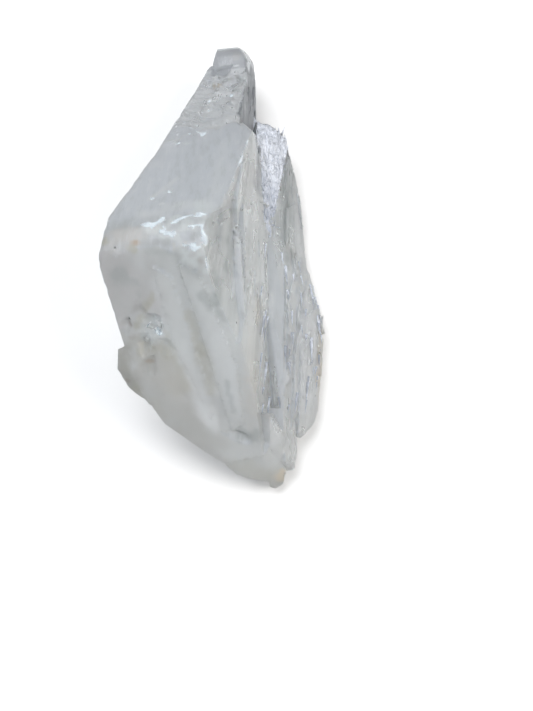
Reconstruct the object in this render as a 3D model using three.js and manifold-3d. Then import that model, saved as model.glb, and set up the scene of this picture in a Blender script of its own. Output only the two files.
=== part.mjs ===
// A selenite crystal blade: one thick cleaved crystal of gypsum, lying on its flat back.
// Millimetres, +Z up, +Y along the blade towards its thin end, origin under the middle of the
// bounding box. The crystal is a single solid: a main blade, the thinner cleavage plates that
// grew against its right side, and the ledges, fibres, chips and pits of its surface.
import * as THREE from "three";
import { ConvexGeometry } from "three/addons/geometries/ConvexGeometry.js";
import { mergeVertices } from "three/addons/utils/BufferGeometryUtils.js";
import Module from "manifold-3d";

const wasm = await Module();
wasm.setup();

// Driving dimensions
const CREST = 40.5; // height where the upper face would meet the front face unbroken
const CREST_X = 0.1; // place of that corner across the blade
const CREST_Y = -21.5; // and along it
const UPPER_SLOPE = [0.1315, -0.2853]; // rise of the upper face per mm across and along
const FRONT_SLOPE = [0.0848, 0.7838]; // rise of the front face per mm across and along
const THIN_STEP = 1.3; // how far the thin end lies below the smooth upper face
const FIBRE_WIDTH = [0.8, 2]; // cleavage fibres, least and most
const FIBRE_HEIGHT = [0.25, 0.7];
const LEDGE_HEIGHT = [0.5, 1.1]; // loose cleavage sheets on a face
const ROOT = 1.2; // how deep a raised feature is rooted in its face
const CRUMB_SUNK = 0.7; // how deep the crushed pit's crumbs sit
const CHIP_OVERLAP = 0.8; // how far the chips along the arris run into each other
const NEEDLES = 9; // frayed needles at the silky plate's end
const SEED = 20240611;

let state = SEED;
function random(low = 0, high = 1) {
  state = (state * 1664525 + 1013904223) % 4294967296;
  return low + ((high - low) * state) / 4294967296;
}

// A point on the smooth upper face, or some way under it.
function upper(x, y, under = 0) {
  return [x, y, CREST + UPPER_SLOPE[0] * (x - CREST_X) + UPPER_SLOPE[1] * (y - CREST_Y) - under];
}

// A point on the front face, or some way under it.
function front(x, y, under = 0) {
  return [x, y, CREST + FRONT_SLOPE[0] * (x - CREST_X) + FRONT_SLOPE[1] * (y - CREST_Y) - under];
}

const upperNormal = new THREE.Vector3(-UPPER_SLOPE[0], -UPPER_SLOPE[1], 1).normalize();
const frontNormal = new THREE.Vector3(-FRONT_SLOPE[0], -FRONT_SLOPE[1], 1).normalize();

function solidOf(geometry) {
  const bare = new THREE.BufferGeometry();
  bare.setAttribute("position", geometry.getAttribute("position"));
  bare.setIndex(geometry.index);
  const merged = mergeVertices(bare, 1e-4);
  const mesh = new wasm.Mesh({
    numProp: 3,
    vertProperties: merged.attributes.position.array,
    triVerts: new Uint32Array(merged.index.array),
  });
  return new wasm.Manifold(mesh);
}

// The convex block between some corners.
function block(...corners) {
  return solidOf(new ConvexGeometry(corners.map((corner) => new THREE.Vector3(...corner))));
}

const between = (a, b, share) => a.map((value, i) => value + (b[i] - value) * share);
const offset = (point, way, distance) => point.map((value, i) => value + way[i] * distance);

// The point a share of the way along a line of corners.
function along(line, share) {
  const place = Math.min(Math.max(share, 0), 1) * (line.length - 1);
  const first = Math.min(Math.floor(place), line.length - 2);
  return between(line[first], line[first + 1], place - first);
}

// A side of the crystal lies between a crest line and a foot line, both running from the thin
// end to the thick end. A place on it is a share along it and a share down it.
function placeOn(face, run, down) {
  return between(along(face.crest, run), along(face.foot, run), down);
}

function normalOn(face, run, down) {
  const step = 0.02;
  const near = Math.min(run, 1 - step);
  const at = new THREE.Vector3(...placeOn(face, near, down));
  const lengthwise = new THREE.Vector3(...placeOn(face, near + step, down)).sub(at);
  const downwards = new THREE.Vector3(...placeOn(face, near, down + step)).sub(at);
  const normal = lengthwise.cross(downwards).normalize();
  return normal.multiplyScalar(face.mirrored ? -1 : 1).toArray();
}

// A pointed cleavage fibre that lies along a face.
function fibre(face, start, end, down, width, height) {
  const drift = random(-0.04, 0.04);
  const corners = [placeOn(face, start, down), placeOn(face, end, down + drift)];
  for (const share of [random(0.2, 0.4), random(0.6, 0.85)]) {
    const run = start + (end - start) * share;
    const middle = placeOn(face, run, down + drift * share);
    const normal = normalOn(face, run, down);
    const lower = new THREE.Vector3(...placeOn(face, run, down + 0.1));
    const across = lower.sub(new THREE.Vector3(...placeOn(face, run, down))).normalize().toArray();
    const top = offset(middle, normal, height);
    corners.push(offset(top, across, width * 0.15), offset(top, across, -width * 0.3));
    for (const side of [-1, 1]) {
      corners.push(offset(offset(middle, across, (side * width) / 2), normal, -ROOT));
    }
  }
  corners.push(offset(corners[0], normalOn(face, start, down), -ROOT));
  corners.push(offset(corners[1], normalOn(face, end, down), -ROOT));
  return block(...corners);
}

// A loose cleavage sheet with ragged ends that stands proud of a face.
function ledge(face, [start, end], [highest, lowest], height) {
  const skew = random(0.1, 0.3) * (end - start);
  const outline = [
    [start + skew, highest],
    [end, highest + random(0, 0.08)],
    [end - skew * random(0.3, 1), lowest],
    [start, lowest - random(0, 0.1)],
    [start + skew * 0.3, (highest + lowest) / 2],
  ];
  const corners = outline.flatMap(([run, down]) => {
    const normal = normalOn(face, run, down);
    const at = placeOn(face, run, down);
    return [offset(at, normal, height), offset(at, normal, -ROOT)];
  });
  return block(...corners);
}

// Sets a shape level with a face, some way above it and turned about the face's normal.
function setOn(shape, point, normal, rise, turn) {
  const up = new THREE.Vector3().copy(normal).normalize();
  const lengthwise = new THREE.Vector3(Math.sin(turn), Math.cos(turn), 0).projectOnPlane(up).normalize();
  const across = new THREE.Vector3().crossVectors(lengthwise, up);
  const place = new THREE.Vector3(...point).addScaledVector(up, rise);
  return shape.applyMatrix4(new THREE.Matrix4().makeBasis(across, lengthwise, up).setPosition(place));
}

// The flattened, uneven ball that leaves a shell-like hollow in a face. Its middle is 3.5 depths
// above the face and its half thickness 4.5, so that it meets the face in the given length and width.
function hollow(point, normal, [length, width], depth, turn = 0) {
  const bare = new THREE.BufferGeometry();
  bare.setAttribute("position", new THREE.IcosahedronGeometry(1, 2).getAttribute("position"));
  const shape = mergeVertices(bare, 1e-4);
  const position = shape.attributes.position;
  for (let i = 0; i < position.count; i++) {
    const swell = random(0.96, 1.04);
    position.setXYZ(i, position.getX(i) * swell, position.getY(i) * swell, position.getZ(i) * swell);
  }
  shape.scale(width * 0.8, length * 0.8, depth * 4.5);
  return solidOf(setOn(shape, point, normal, depth * 3.5, turn));
}

// The wedge that leaves an angular flake scar in a face, deepest near one end.
function flake(point, normal, [length, width], depth, turn = 0) {
  const corners = [];
  for (let i = 0; i < 7; i++) {
    const angle = ((i + random(-0.3, 0.3)) / 7) * 2 * Math.PI;
    const reach = random(0.7, 1.15);
    const edge = [(Math.cos(angle) * reach * width) / 2, (Math.sin(angle) * reach * length) / 2];
    corners.push(new THREE.Vector3(...edge, 0.05), new THREE.Vector3(...edge, 3));
  }
  corners.push(new THREE.Vector3(width * random(-0.1, 0.1), length * random(0.12, 0.3), -depth));
  corners.push(new THREE.Vector3(width * random(0.05, 0.2), -length * random(0, 0.15), -depth * 0.7));
  return solidOf(setOn(new ConvexGeometry(corners), point, normal, 0, turn));
}

// An angular crumb of crystal, half sunk in a face.
function crumb(point, normal, [length, width], height, turn = 0) {
  const corners = [];
  for (let i = 0; i < 11; i++) {
    const angle = (i / 11) * 2 * Math.PI + random(-0.25, 0.25);
    const reach = i % 2 === 0 ? random(0.8, 1) : random(0.3, 0.6);
    const level = i % 2 === 0 ? -1.8 * height : height * random(0.6, 1);
    const place = [(Math.cos(angle) * reach * width) / 2, (Math.sin(angle) * reach * length) / 2, level];
    corners.push(new THREE.Vector3(...place));
  }
  return solidOf(setOn(new ConvexGeometry(corners), point, normal, 0, turn));
}

// The wedge that breaks a stretch of the arris away, from back on the upper face to down the front.
function arrisChip(start, end) {
  const corners = [
    upper(start, CREST_Y + random(1.2, 3.2)), upper(end, CREST_Y + random(1.2, 3.2)),
    front(start + random(-0.6, 0.6), CREST_Y - random(1.4, 4)),
    front(end + random(-0.6, 0.6), CREST_Y - random(1.4, 4)),
  ];
  return block(...corners, ...corners.map((corner) => offset(corner, [0, -0.2, 1], 9)));
}

// The splinter missing from the shoulder where the smooth face steps down to the thin end.
function shoulderBite([x, y], width, depth) {
  const apex = [x + width * random(-0.3, 0.3), y - depth];
  const outline = [[x - width / 2, y + 2.5], [x + width / 2, y + 3.5], apex];
  const cornersAt = ([a, b]) => [upper(a, b, -2), upper(a, b, THIN_STEP * random(0.7, 0.95))];
  return block(...outline.flatMap(cornersAt));
}

// The main blade: the smooth upper face, the bevelled arris, the front face and the right side.
function mainBlade() {
  const leftEdge = [
    upper(-24.9, -18.8), upper(-24.4, -15.3), upper(-22.8, -9.5), upper(-18.9, 2.9), upper(-14.9, 16.2),
  ];
  const shoulder = [upper(-12.9, 17.2), upper(-6.6, 19.6), upper(4.2, 23), upper(7.4, 16.9)];
  const arris = [upper(-25, -20.9), upper(-0.2, -19.9), [-25.4, -24.3, 36.2], front(0.1, -23)];
  const frontEdge = [
    [-25.5, -25.5, 35.3], [-24, -30.1, 31.8], [-20.5, -39.3, 24.8], [-17.7, -47.9, 18.3],
    [-15.2, -50.9, 15.8], [-11.7, -54.9, 13.3], [-2.8, -60.2, 9.9], [1.4, -62.4, 8.6], [10.2, -61.4, 10.4],
  ];
  const rightEdge = [front(5.2, -41.7), front(8.5, -50.4)];
  const sideFoot = [
    [8.7, 24.5, 21], [9.8, 19.2, 18], [11.4, 7.6, 15.5], [11.4, -5.1, 15],
    [10.4, -22, 17.5], [11.3, -35.9, 13], [12.3, -49.6, 9], [11.8, -58.4, 8],
  ];
  const restingFace = [
    [-19, -20, 0], [-18.4, -8, 0], [-11, 24, 0], [6, 30, 0],
    [12, 0, 0], [12, -50, 0], [4, -57, 0], [-8, -50, 0], [-15, -38, 0],
  ];
  return block(
    ...leftEdge, ...shoulder, ...arris, ...frontEdge, ...rightEdge, ...sideFoot, ...restingFace,
  );
}

// The corner broken away where the arris meets the right side.
function brokenCorner() {
  const bite = [
    front(-1.6, -22.6), front(-2.1, -27), front(-0.7, -31), front(4.8, -41), [5.9, -39.2, 25.6],
    [6.2, -29, 26.2], [5.8, -12, 28], [4.3, -6.5, 33], upper(-1.8, -17.5),
  ];
  const outside = bite.map((point) => offset(point, [0.75, -0.15, 0.65], 16));
  return block(...bite, ...outside);
}

// The thin end: a narrower blade that runs on past the shoulder of the main one.
const thinCrest = [[5.4, 50, 20.4], [4.5, 39.8, 22.6], [2.9, 29, 25.2], [3.8, 21, 26.6]];
const thinFoot = [[7.6, 59.5, 10.5], [7.8, 50, 9.5], [7.9, 43, 8], [8.2, 34, 8]];

function thinBlade() {
  const left = [
    [-17.2, 11.4, 27.4], [-15.2, 18.8, 25.6], [-7.8, 48.2, 18.2], [-6.4, 55.6, 16.4],
  ];
  return block(
    ...left, upper(-2, 56, THIN_STEP), upper(4, 56, THIN_STEP), ...thinCrest, ...thinFoot,
    upper(-4.5, 56.5, THIN_STEP), [-6.2, 56, 6], [-8.6, 44, 2], [-11, 24, 0], [-6.5, 48, 0],
    [2, 54, 0], [7, 40, 0], [8, 30, 0], [-2, 56, 4], [6, 56, 5],
  );
}

// The block at the very end, with its bright bevelled shoulder.
function endBlock() {
  return block(
    upper(-4.9, 57.6), upper(-4.4, 64.6), [-4.1, 69, 13.5], [-3.4, 70.2, 12.3], [2.2, 69.4, 13.8],
    upper(3, 66), upper(4.4, 61), upper(5, 52), [4.2, 68.6, 13.3], [5.5, 66.6, 13.2], [6.9, 63.8, 13],
    [7.4, 61.5, 12], [7.7, 58, 10.6], [7.7, 50, 9.6], upper(-4.2, 52, 0.4), upper(1, 44, 0.8),
    [-4.6, 60, 6], [-2.8, 67, 5], [4, 66, 5.5], [6, 60, 6], [-4, 48, 6], [6, 44, 6],
  );
}

// The step on the thin end's left edge.
function endStep() {
  return block(
    [-5.6, 58.4, 15.9], [-6.6, 56.8, 15.9], [-7.2, 53.6, 16.6], [-7.9, 50, 17.4], [-4, 58, 16.4],
    upper(-4, 50, 1), [-5.4, 57, 9], [-7.4, 48, 9], [-3, 48, 9], [-3, 57, 9],
  );
}

// The plates against the right side of the main blade.
const outerCrest = [
  [16.9, 34.2, 10], [15.6, 25.9, 11], [13.3, 15, 13],
  [12.4, 5.5, 14.4], [11.6, -5.1, 15.4], [10.6, -21, 16.2],
];
const outerFoot = [
  [18, 27.4, 8.3], [19.1, 23.6, 6.7], [20.2, 18, 5.1],
  [20.9, 11.1, 3.8], [21.4, 5.8, 3], [22, -3.4, 1.8],
];

function silkyPlate() {
  return block(
    [8, 34.6, 17], [9.7, 35, 15.8], [11.4, 36.2, 14.4], [13.4, 36.2, 12.8], [15.4, 35.2, 11.4],
    [16.9, 33.8, 10], [8.7, 24.5, 20], [9.8, 19.2, 17.6], [11.4, 7.6, 15.3], [11.6, -5.1, 15.2],
    [13.3, 15, 13],
    [9, 33, 0], [14.5, 32, 0], [17, 20, 0], [16, -5, 0], [4, -5, 0], [3, 32, 0],
  );
}

function outerPlate() {
  return block(
    ...outerCrest, ...outerFoot,
    [15.2, 31, 0], [17.8, 22, 0], [19.6, 8, 0], [20.4, -4, 0],
    [19, -24, 0], [6, -24, 0], [6, 26, 0],
  );
}

const middleCrest = [
  [11.8, -4, 15.2], [14.4, -8, 13.6], [15, -22.2, 14.2], [14.9, -36.5, 14], [14.3, -48, 11], [15, -55.3, 9],
];
const middleFoot = [
  [21.6, 2, 3], [21.9, -6, 5], [20.4, -20, 9.6], [19.2, -34.8, 10.2], [18.2, -47.1, 8], [17.4, -55, 5],
];

function middlePlate() {
  return block(
    ...middleCrest, ...middleFoot, [10.4, -22, 17], [11.3, -35.9, 13],
    [19.5, 0, 0], [19.5, -48, 0], [15, -56, 0], [4, -50, 0], [4, 0, 0],
  );
}

const roughCrest = [
  [22, -6.5, 5], [20.6, -20, 10], [19.6, -34.8, 11], [18.8, -47.1, 9], [18.3, -54.6, 6],
];
const roughFoot = [
  [23.3, -11.1, 3.5], [25.3, -21.7, 4], [25.5, -28.2, 4], [24.7, -38.1, 4], [22.3, -50.5, 4],
];

function roughPlate() {
  return block(
    ...roughCrest, ...roughFoot, [25.1, -33.9, 4], [23.3, -47.7, 4], [20.1, -53.6, 4], [18.9, -54.6, 4],
    [21, -10, 0], [22.8, -24, 0], [22, -40, 0], [19, -50, 0], [8, -50, 0], [8, -10, 0],
  );
}

// The broken steps at the thick end.
function brokenSteps() {
  const outerStep = block(
    [14.6, -50, 11], [17.8, -52, 7], [18.1, -57.3, 4], [17.3, -62.3, 3.5], [15.7, -62.7, 4],
    [15.4, -61.6, 7], [15.2, -55, 9], [10, -50, 11], [9, -60, 5],
    [16.6, -54, 0], [15.6, -60, 0], [8, -56, 0], [8, -48, 0],
  );
  const lowStep = block(
    [15, -60.5, 6.6], [14.2, -63.6, 4.4], [11.3, -65.1, 3.5], [8.6, -64.7, 4], [6.8, -64.7, 5],
    [4.3, -64.1, 5.5], [2.7, -63.1, 6.5], [1, -61.6, 8.4], [10.2, -61.4, 10.2], [12, -58.4, 11.2],
    [0, -56, 9], [13.5, -61, 0], [11, -62.5, 0], [4, -60.5, 0], [1, -55, 0], [13, -54, 0],
  );
  const nub = block(
    [15.5, -62.6, 4.2], [15, -65.3, 2.6], [13.2, -66.4, 2.2], [11.8, -66, 2.6], [11.2, -64.6, 4.6],
    [12.6, -61, 7.4], [15, -60.8, 6.2], [12, -60, 1], [14.6, -61.5, 0.8], [12.2, -64, 1],
  );
  const brightFacet = block(
    [11.5, -53.4, 16], [12.9, -56, 12], [14.7, -55.7, 10], [15.4, -56.8, 8.5], [15.2, -60.4, 7],
    [13.6, -61.3, 7], [12, -59.7, 10.5], [8, -52, 14], [8, -58, 8], [13, -50, 8],
  );
  return [outerStep, lowStep, nub, brightFacet];
}

// The lobe on the left of the front face.
function frontLobe() {
  return block(
    [-21.7, -41.1, 23], [-22.1, -42.8, 21], [-22.2, -44.3, 19.5], [-20.4, -47, 17.5], [-18.9, -40.3, 24.2],
    [-19.7, -47.6, 16.6], [-17.2, -49.1, 15.6], [-15, -50.9, 14.6], [-18.6, -46, 20.4], [-16, -43, 22.6],
    [-16, -44, 11], [-18, -40, 14], [-14, -40, 20], [-12, -49, 13],
  );
}

// Two cleavage bands stand a little proud of the front face.
function frontBands() {
  const leftBand = [
    [-13.6, -27.5], [-9.6, -29.4], [-6.6, -36], [-4.8, -43], [-1.2, -50.5], [-0.6, -55.4],
    [-4.6, -48.4], [-9.2, -41],
  ];
  const rightBand = [
    [-8, -27], [-3.6, -29], [0.2, -36.5], [4.6, -45.5], [6, -55.4], [3.4, -57],
    [0.6, -49], [-1.8, -41], [-5, -34],
  ];
  const bandOf = (outline, height) =>
    block(...outline.flatMap(([x, y]) => [front(x, y, -height), front(x, y, ROOT)]));
  return [bandOf(leftBand, 0.45), bandOf(rightBand, 0.7)];
}

// Loose needles frayed out of the silky plate's end.
function frayedNeedle(x, height, lean, length) {
  const rootPoint = [x, 34, height];
  const tip = [x + lean * length, 35.6 + length, height - 0.3 * length];
  return block(
    tip, offset(rootPoint, [1, 0, 0], 0.55), offset(rootPoint, [-1, 0, 0], 0.55),
    offset(rootPoint, [0, 0, 1], 0.3), offset(rootPoint, [0, -1, -0.4], 2.4),
  );
}

const sideFace = {
  crest: [
    upper(7.2, 16.9), upper(4.7, 4), upper(3.2, -5),
    [4.6, -18, 31], [5.6, -34, 26.6], front(6.6, -46),
  ],
  foot: [
    [8.7, 24.5, 21], [10.6, 12, 16.8], [11.4, 3, 15.4],
    [11, -12, 16.2], [11, -30, 15], [11.9, -44, 10.6],
  ],
};
const outerFace = { crest: outerCrest, foot: outerFoot };
const middleFace = { crest: middleCrest, foot: middleFoot };
const roughFace = { crest: roughCrest, foot: roughFoot };
const thinFace = { crest: thinCrest, foot: thinFoot };
const leftFace = {
  crest: [
    [-7.8, 48.2, 16.8], [-11.6, 33.5, 21], [-15.2, 18.8, 24.6],
    [-18.9, 2.9, 30], [-22.8, -9.5, 33], [-25, -19, 35.2],
  ],
  foot: [
    [-6.5, 48, 1], [-8.9, 35, 1], [-11, 24, 1],
    [-15.6, 5, 1], [-18.4, -8, 1], [-19, -20, 1],
  ],
  mirrored: true,
};

// Fibres and loose sheets on every cleaved side: how many fibres, and their least and greatest
// share of the side's length.
function fibresAndLedges() {
  const features = [];
  const scatter = [
    [sideFace, 16, [0.2, 0.55]],
    [outerFace, 14, [0.15, 0.5]],
    [middleFace, 14, [0.15, 0.45]],
    [roughFace, 18, [0.12, 0.4]],
    [thinFace, 8, [0.25, 0.6]],
    [leftFace, 15, [0.15, 0.45]],
  ];
  for (const [face, count, [shortest, longest]] of scatter) {
    for (let i = 0; i < count; i++) {
      const length = random(shortest, longest);
      const start = random(0.02, 0.97 - length);
      const down = (i + random(0.3, 0.8)) / (count + 0.6);
      const width = random(...FIBRE_WIDTH);
      features.push(fibre(face, start, start + length, down, width, random(...FIBRE_HEIGHT)));
    }
  }
  const sheets = [
    [sideFace, [0.04, 0.4], [0.55, 0.96]],
    [sideFace, [0.45, 0.85], [0.62, 0.96]],
    [outerFace, [0.05, 0.45], [0.25, 0.6]],
    [outerFace, [0.5, 0.94], [0.4, 0.8]],
    [middleFace, [0.3, 0.75], [0.15, 0.5]],
    [middleFace, [0.5, 0.95], [0.55, 0.9]],
    [roughFace, [0.25, 0.6], [0.2, 0.6]],
    [leftFace, [0.1, 0.5], [0.25, 0.55]],
    [leftFace, [0.42, 0.9], [0.45, 0.8]],
    [leftFace, [0.2, 0.7], [0.72, 0.94]],
  ];
  for (const [face, run, down] of sheets) {
    features.push(ledge(face, run, down, random(...LEDGE_HEIGHT)));
  }
  return features;
}

// Needles along the silky plate's far edge, which falls from left to right.
function frayedEdge() {
  const [left, right] = [[8.4, 16.6], [16.6, 10]];
  const needles = [];
  for (let i = 0; i < NEEDLES; i++) {
    const [x, height] = between(left, right, (i + random(0.2, 0.8)) / NEEDLES);
    needles.push(frayedNeedle(x, height, random(-0.1, 0.35), random(0.7, 2)));
  }
  return needles;
}

// Crumbs on the thin end and in the crushed pit of the front face.
function crumbs() {
  const loose = [
    crumb(upper(-3, 46.4, THIN_STEP), upperNormal, [6.5, 5], 0.9, 0.3),
    crumb(upper(2.6, 52.4, THIN_STEP), upperNormal, [6, 2.6], 0.9, 0.1),
  ];
  const crushed = [[-14.4, -37.2], [-13, -38.8], [-15.4, -39.6], [-12.4, -36.8], [-13.8, -40.4]];
  for (const [x, y] of crushed) {
    const size = [random(2.2, 3.4), random(1.8, 2.6)];
    loose.push(crumb(front(x, y, CRUMB_SUNK), frontNormal, size, random(0.8, 1.2), random(0, 3)));
  }
  return loose;
}

// What has broken away: chips along the arris, flakes off the thin end and the crushed pit,
// splinters off the shoulder and the upper face's right edge.
function breakage() {
  const chips = [brokenCorner()];
  const chipBounds = [-26, -21.5, -18.2, -12.6, -9.8, -5.4, -0.5];
  for (let i = 0; i < chipBounds.length - 1; i++) {
    chips.push(arrisChip(chipBounds[i] - CHIP_OVERLAP, chipBounds[i + 1] + CHIP_OVERLAP));
  }
  // Each flake: place across and along, length, width and depth
  const thinFlakes = [
    [-5.6, 46, 12, 6, 0.8], [0.6, 45, 9, 7, 0.9], [-7.4, 37.5, 11, 7, 0.8], [-1.4, 38.5, 10, 8, 1],
    [3.2, 38, 8, 4, 0.7], [-3.6, 31, 11, 8, 0.8], [2.2, 31.5, 10, 6, 0.9], [-10.4, 29.5, 10, 6, 0.8],
    [-1.6, 52.6, 8, 7, 0.9], [3.4, 46, 8, 4, 0.8], [-6.6, 26, 8, 8, 0.6], [-5.2, 52.4, 8, 4, 0.7],
  ];
  for (const [x, y, length, width, depth] of thinFlakes) {
    chips.push(flake(upper(x, y, THIN_STEP), upperNormal, [length, width], depth, random(-0.8, 0.8)));
  }
  const shoulderBites = [
    [[-11.8, 17.8], 5.5, 2.6], [[-8.4, 18.8], 4, 1.2], [[-1.8, 21.2], 8, 1.9], [[3.4, 23], 4, 2.4],
  ];
  for (const [place, width, depth] of shoulderBites) {
    chips.push(shoulderBite(place, width, depth));
  }
  const edgeNormal = new THREE.Vector3(0.7, 0, 1);
  const edgeBites = [[7.2, 14, 6], [6.2, 9, 4], [5, 3.4, 6], [3.9, -2.5, 5], [2.2, -9, 6]];
  for (const [x, y, length] of edgeBites) {
    chips.push(hollow(upper(x, y), edgeNormal, [length, 2], random(0.3, 0.55), 0.12));
  }
  const frontFlakes = [
    [-13.6, -37.4, 7, 6, 1.3], [-15.4, -40.6, 7, 5, 1.2], [-18.9, -37.6, 5, 3.5, 0.8],
    [-14.6, -44.2, 6, 4, 0.7], [-11, -41, 5, 4, 0.8], [5, -57.4, 2.6, 8, 0.45],
    [-16.4, -35.2, 5, 4, 0.7],
  ];
  for (const [x, y, length, width, depth] of frontFlakes) {
    chips.push(flake(front(x, y), frontNormal, [length, width], depth, random(-0.6, 0.6)));
  }
  return chips;
}

// Shallow hollows where sheets have come off the resting face.
function hollowsBelow() {
  const down = new THREE.Vector3(0, 0, -1);
  const places = [
    [-11, -38, 18, 9, 0.9], [5, -46, 22, 7, 1], [-14, 4, 20, 7, 0.8],
    [9, 18, 24, 6, 1], [18, -30, 26, 7, 0.9], [0, 42, 16, 8, 0.9],
  ];
  return places.map(([x, y, length, width, depth]) =>
    hollow([x, y, 0], down, [length, width], depth, random(-0.3, 0.3)));
}

const raised = [...fibresAndLedges(), ...frayedEdge(), ...crumbs()];
const removed = [...breakage(), ...hollowsBelow()];
const belowRest = solidOf(new THREE.BoxGeometry(400, 400, 40).translate(0, 0, -20));
const grown = wasm.Manifold.union([
  mainBlade(), ...frontBands(), thinBlade(), endBlock(), endStep(), silkyPlate(), outerPlate(),
  middlePlate(), roughPlate(), ...brokenSteps(), frontLobe(),
]);
const crystal = grown
  .subtract(wasm.Manifold.union(removed))
  .add(wasm.Manifold.union(raised))
  .subtract(belowRest);

const result = crystal.getMesh();
const geometry = new THREE.BufferGeometry();
geometry.setAttribute("position", new THREE.BufferAttribute(result.vertProperties, 3));
geometry.setIndex(new THREE.BufferAttribute(result.triVerts, 1));
geometry.computeBoundingBox();
const middle = geometry.boundingBox.getCenter(new THREE.Vector3());
geometry.translate(-middle.x, -middle.y, -geometry.boundingBox.min.z);

const selenite = new THREE.MeshStandardMaterial({ color: 0xd9dcdc, roughness: 0.35, metalness: 0 });
const mesh = new THREE.Mesh(geometry, selenite);
mesh.name = "selenite_blade";

const part = new THREE.Group();
part.add(mesh);
export default part;
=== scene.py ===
"""Selenite crystal blade: a raw blade of clear to milky gypsum, lying on its flat back.

Meshes are in metres. Patterns and places are given in millimetres in the blade's own frame, so
that every vein, fibre and stain has its real size.
"""
import math

import bmesh
import bpy
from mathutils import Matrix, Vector, noise


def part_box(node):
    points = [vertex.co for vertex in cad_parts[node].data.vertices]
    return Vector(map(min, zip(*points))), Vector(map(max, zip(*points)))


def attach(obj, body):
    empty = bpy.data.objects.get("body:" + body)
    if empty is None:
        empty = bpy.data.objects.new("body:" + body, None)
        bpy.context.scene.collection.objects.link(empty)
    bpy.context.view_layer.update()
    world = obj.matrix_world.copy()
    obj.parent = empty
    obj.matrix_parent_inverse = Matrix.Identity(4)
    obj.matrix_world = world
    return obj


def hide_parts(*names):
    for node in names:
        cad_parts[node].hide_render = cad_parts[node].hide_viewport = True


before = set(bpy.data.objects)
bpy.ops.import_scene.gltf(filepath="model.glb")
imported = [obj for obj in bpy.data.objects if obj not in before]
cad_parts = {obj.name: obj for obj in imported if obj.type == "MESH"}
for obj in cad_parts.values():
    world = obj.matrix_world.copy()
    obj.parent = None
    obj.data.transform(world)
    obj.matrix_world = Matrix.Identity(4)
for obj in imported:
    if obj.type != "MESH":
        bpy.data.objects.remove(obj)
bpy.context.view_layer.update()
LOW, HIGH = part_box("selenite_blade")
LENGTH = HIGH.y - LOW.y
MM = 0.001

bl_info = {
    "name": "Selenite crystal blade",
    "version": (1, 0, 0),
    "blender": (4, 5, 0),
    "location": "3D View > Sidebar > Selenite",
    "description": "Builds a raw selenite blade, its frayed fibres and a plain stage",
    "category": "Object",
}


def length_setting(name, description, millimetres, least=0.0):
    return bpy.props.FloatProperty(
        name=name, description=description, default=millimetres * MM, min=least * MM, unit="LENGTH")


def power_setting(name, description, watts):
    return bpy.props.FloatProperty(
        name=name, description=description, default=watts, min=0.0, unit="POWER")


def colour_setting(name, description, colour):
    return bpy.props.FloatVectorProperty(
        name=name, description=description, default=colour, min=0.0, max=1.0, subtype="COLOR", size=4)


class BladeShape(bpy.types.PropertyGroup):
    """Sizes of the relief on the blade's faces."""

    cell: length_setting("Mesh Cell", "Size of the mesh's squares", 0.48, 0.3)
    fibre_height: length_setting(
        "Fibre Height", "How far the cleavage fibres on the sides stand out", 0.11)
    ledge_height: length_setting("Ledge Height", "Height of the small cleavage steps", 0.13)
    wave_height: length_setting("Wave Height", "Height of the curved waves on the rough end", 0.36)
    chip_depth: length_setting("Chip Depth", "How deep the edges are chipped", 0.22)
    seed: bpy.props.IntProperty(
        name="Seed", description="Picks one of many random reliefs", default=7, min=0)


class BladeFinish(bpy.types.PropertyGroup):
    """Colours and clearness of the crystal."""

    body: colour_setting("Body Colour", "The milky crystal", (0.74, 0.75, 0.75, 1.0))
    clearness: bpy.props.FloatProperty(
        name="Clearness", description="Share of the light that passes through", default=0.72,
        min=0.5, max=1.0, subtype="FACTOR")
    haze: colour_setting(
        "Haze Colour", "What the clear part takes from the light", (0.86, 0.88, 0.87, 1.0))


class StageLook(bpy.types.PropertyGroup):
    """The floor and the lights."""

    floor: colour_setting("Floor Colour", "The plain pale floor", (0.86, 0.86, 0.86, 1.0))
    window_power: power_setting("Window Power", "Light of the large soft window", 3.35)
    fill_power: power_setting("Fill Power", "Light of the soft warm fill", 2.1)


RIDGE_WIDTH = 0.16


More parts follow.
